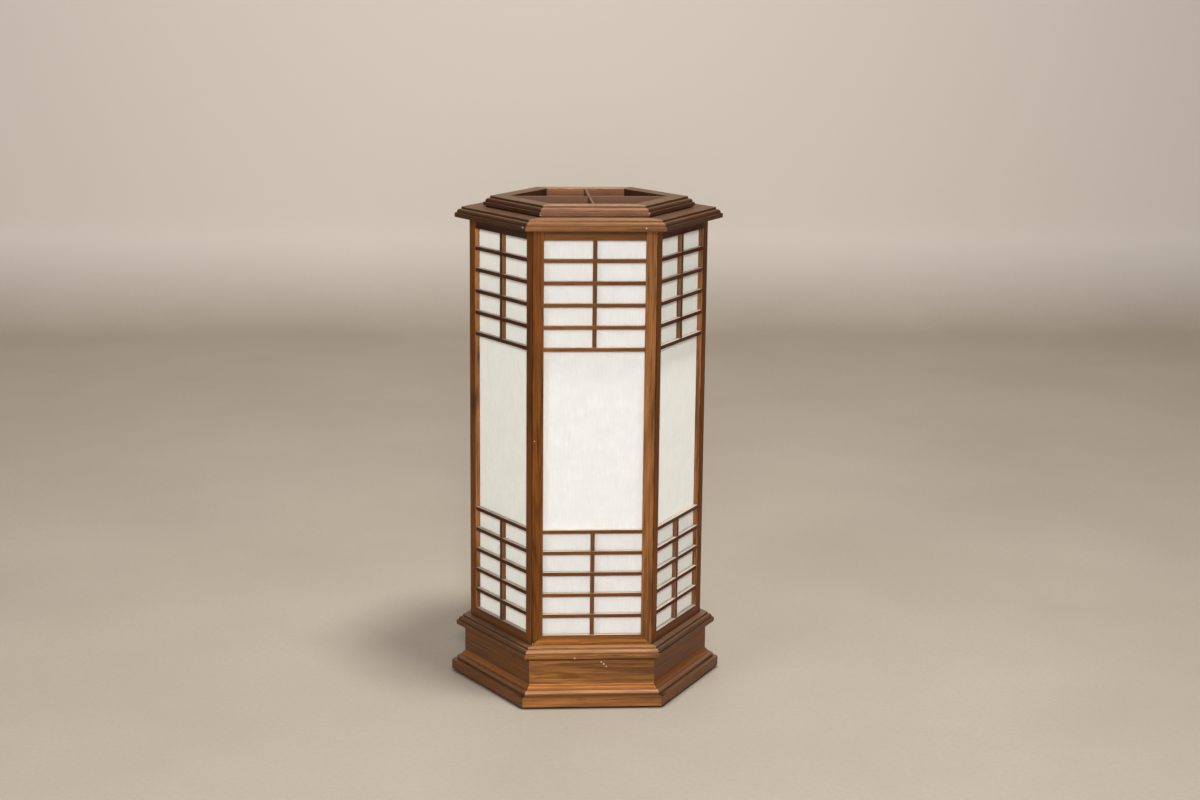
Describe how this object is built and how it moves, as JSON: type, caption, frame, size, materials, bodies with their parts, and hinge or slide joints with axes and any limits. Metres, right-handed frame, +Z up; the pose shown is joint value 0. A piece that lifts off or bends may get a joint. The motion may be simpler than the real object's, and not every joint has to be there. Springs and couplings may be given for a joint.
{
  "type": "table lamp",
  "caption": "Hexagonal table lamp with rice-paper panels behind a dark wooden lattice, a moulded base and a loose moulded cap over a bulb.",
  "frame": {"origin": "on the lamp's vertical axis, on the surface that the felt pads stand on", "axes": "+Z up along the lamp's axis; -Y out of the front panel, +Y out of the back panel with the cord outlet; +X to the right seen from the front"},
  "size_m": [0.326, 0.2822, 0.5803],
  "materials": {
    "frame_wood": "dark red-brown stained hardwood under semi-gloss varnish, rubbed at the edges",
    "moulding_wood": "dark red-brown stained hardwood under gloss varnish, dusty on upward faces and chipped at the edges",
    "lattice_wood": "dark red-brown stained thin bars, satin, dusty on upward faces",
    "inner_wood": "plain unvarnished wood",
    "paper": "off-white translucent rice paper with faint fibres",
    "felt": "dark pressed felt",
    "bushing_plastic": "dark brown moulded plastic",
    "plated_steel": "zinc-plated steel",
    "holder_brass": "polished brass",
    "holder_insulation": "black phenolic moulding",
    "knob_plastic": "black moulded plastic",
    "bulb_metal": "bright drawn aluminium",
    "bulb_glass": "frosted white glass"
  },
  "bodies": {
    "lamp_body": {"base_board": "inner_wood", "base_moulding": "moulding_wood", "bottom_rail_back": "frame_wood", "bottom_rail_back_left": "frame_wood", "bottom_rail_back_right": "frame_wood", "bottom_rail_front": "frame_wood", "bottom_rail_front_left": "frame_wood", "bottom_rail_front_right": "frame_wood", "centre_contact": "holder_brass", "cord_bushing": "bushing_plastic", "corner_blocks": "inner_wood", "felt_pads": "felt", "frieze_boards": "moulding_wood", "holder_cap": "holder_brass", "holder_insulator": "holder_insulation", "holder_shell": "holder_brass", "lamp_pipe": "plated_steel", "lower_lattice_back": "lattice_wood", "lower_lattice_back_left": "lattice_wood", "lower_lattice_back_right": "lattice_wood", "lower_lattice_front": "lattice_wood", "lower_lattice_front_left": "lattice_wood", "lower_lattice_front_right": "lattice_wood", "paper_back": "paper", "paper_back_left": "paper", "paper_back_right": "paper", "paper_front": "paper", "paper_front_left": "paper", "paper_front_right": "paper", "pipe_nuts": "plated_steel", "pipe_washers": "plated_steel", "screw_shell": "holder_brass", "skirt_moulding": "moulding_wood", "stiles_back": "frame_wood", "stiles_back_left": "frame_wood", "stiles_back_right": "frame_wood", "stiles_front": "frame_wood", "stiles_front_left": "frame_wood", "stiles_front_right": "frame_wood", "top_rail_back": "frame_wood", "top_rail_back_left": "frame_wood", "top_rail_back_right": "frame_wood", "top_rail_front": "frame_wood", "top_rail_front_left": "frame_wood", "top_rail_front_right": "frame_wood", "upper_lattice_back": "lattice_wood", "upper_lattice_back_left": "lattice_wood", "upper_lattice_back_right": "lattice_wood", "upper_lattice_front": "lattice_wood", "upper_lattice_front_left": "lattice_wood", "upper_lattice_front_right": "lattice_wood"},
    "cap": {"cornice_moulding": "moulding_wood", "crown_moulding": "moulding_wood", "lengthwise_slat": "lattice_wood", "crosswise_slat": "lattice_wood", "locating_cleats": "inner_wood"},
    "bulb": {"bulb_cap": "bulb_metal", "bulb_glass": "bulb_glass"},
    "switch": {"switch_stem": "holder_brass", "switch_knob": "knob_plastic"}
  },
  "joints": [
    {"name": "cap_lift", "type": "slide", "parent": "lamp_body", "child": "cap", "axis": [0, 0, 1], "range_m": [0, 0.08]},
    {"name": "bulb_turn", "type": "hinge", "parent": "lamp_body", "child": "bulb", "pos_m": [0, 0, 0.209], "axis": [0, 0, 1], "continuous": true},
    {"name": "switch_turn", "type": "hinge", "parent": "lamp_body", "child": "switch", "pos_m": [0, -0.026, 0.1836], "axis": [0, -1, 0], "continuous": true}
  ]
}
